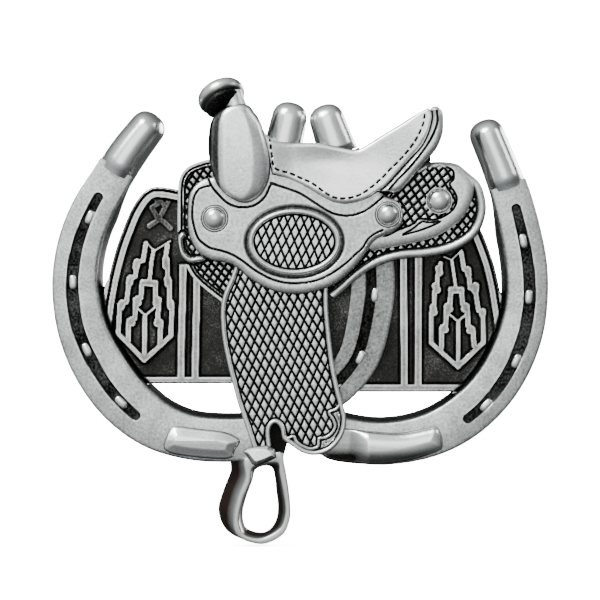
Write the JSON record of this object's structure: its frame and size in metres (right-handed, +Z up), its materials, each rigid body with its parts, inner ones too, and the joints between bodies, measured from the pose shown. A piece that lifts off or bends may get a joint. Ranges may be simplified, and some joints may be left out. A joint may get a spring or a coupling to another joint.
{
  "type": "belt buckle",
  "caption": "Western plate belt buckle in antique silver: a saddle in relief over horseshoes, with a hinged belt bail and a belt stud on the back.",
  "frame": {"origin": "on the flat back face, behind the saddle, at mid height of the belt", "axes": "+Y out of the back face towards the wearer, +Z up as worn, +X to the right seen from the front"},
  "size_m": [0.0899, 0.0181, 0.0843],
  "materials": {
    "antique_silver": "satin antique silver plate on cast zinc",
    "polished_silver": "buffed silver plate on cast zinc",
    "tooled_silver": "tooled relief, blackened in the cuts and buffed on top",
    "blackened_silver": "grained ground, blackened",
    "pin_steel": "drawn steel pin"
  },
  "bodies": {
    "buckle": {"belt_stud": "polished_silver", "cantle_roll": "antique_silver", "centre_horseshoe": "tooled_silver", "centre_left_heel": "polished_silver", "centre_nail_1": "polished_silver", "centre_nail_2": "polished_silver", "centre_right_heel": "polished_silver", "fender": "tooled_silver", "fork_swell": "antique_silver", "front_concho": "polished_silver", "front_skirt": "tooled_silver", "horn_cap": "polished_silver", "horn_neck": "antique_silver", "left_blanket": "blackened_silver", "left_blanket_figure": "tooled_silver", "left_blanket_trim": "antique_silver", "left_heel_cap": "polished_silver", "left_horseshoe": "antique_silver", "left_nail_1": "polished_silver", "left_nail_2": "polished_silver", "left_nail_3": "polished_silver", "left_nail_4": "polished_silver", "left_toe_pad": "polished_silver", "lower_bail_ear": "antique_silver", "lower_bail_pin": "pin_steel", "middle_concho": "polished_silver", "oval_plaque": "tooled_silver", "rear_concho": "polished_silver", "rear_jockey": "tooled_silver", "rear_skirt": "tooled_silver", "right_blanket": "blackened_silver", "right_blanket_figure": "tooled_silver", "right_blanket_trim": "antique_silver", "right_heel_cap": "polished_silver", "right_horseshoe": "antique_silver", "right_nail_1": "polished_silver", "right_nail_2": "polished_silver", "right_nail_3": "polished_silver", "right_nail_4": "polished_silver", "right_toe_pad": "polished_silver", "saddle_tree": "blackened_silver", "seat": "polished_silver", "seat_jockey": "antique_silver", "stirrup": "antique_silver", "stirrup_block": "polished_silver", "stud_base": "antique_silver", "upper_bail_ear": "antique_silver", "upper_bail_pin": "pin_steel"},
    "bail": {"belt_bail": "antique_silver"}
  },
  "joints": [
    {"name": "bail_hinge", "type": "hinge", "parent": "buckle", "child": "bail", "pos_m": [0.01, 0.0057, 0], "axis": [0, 0, 1], "range_deg": [-10, 190]}
  ]
}
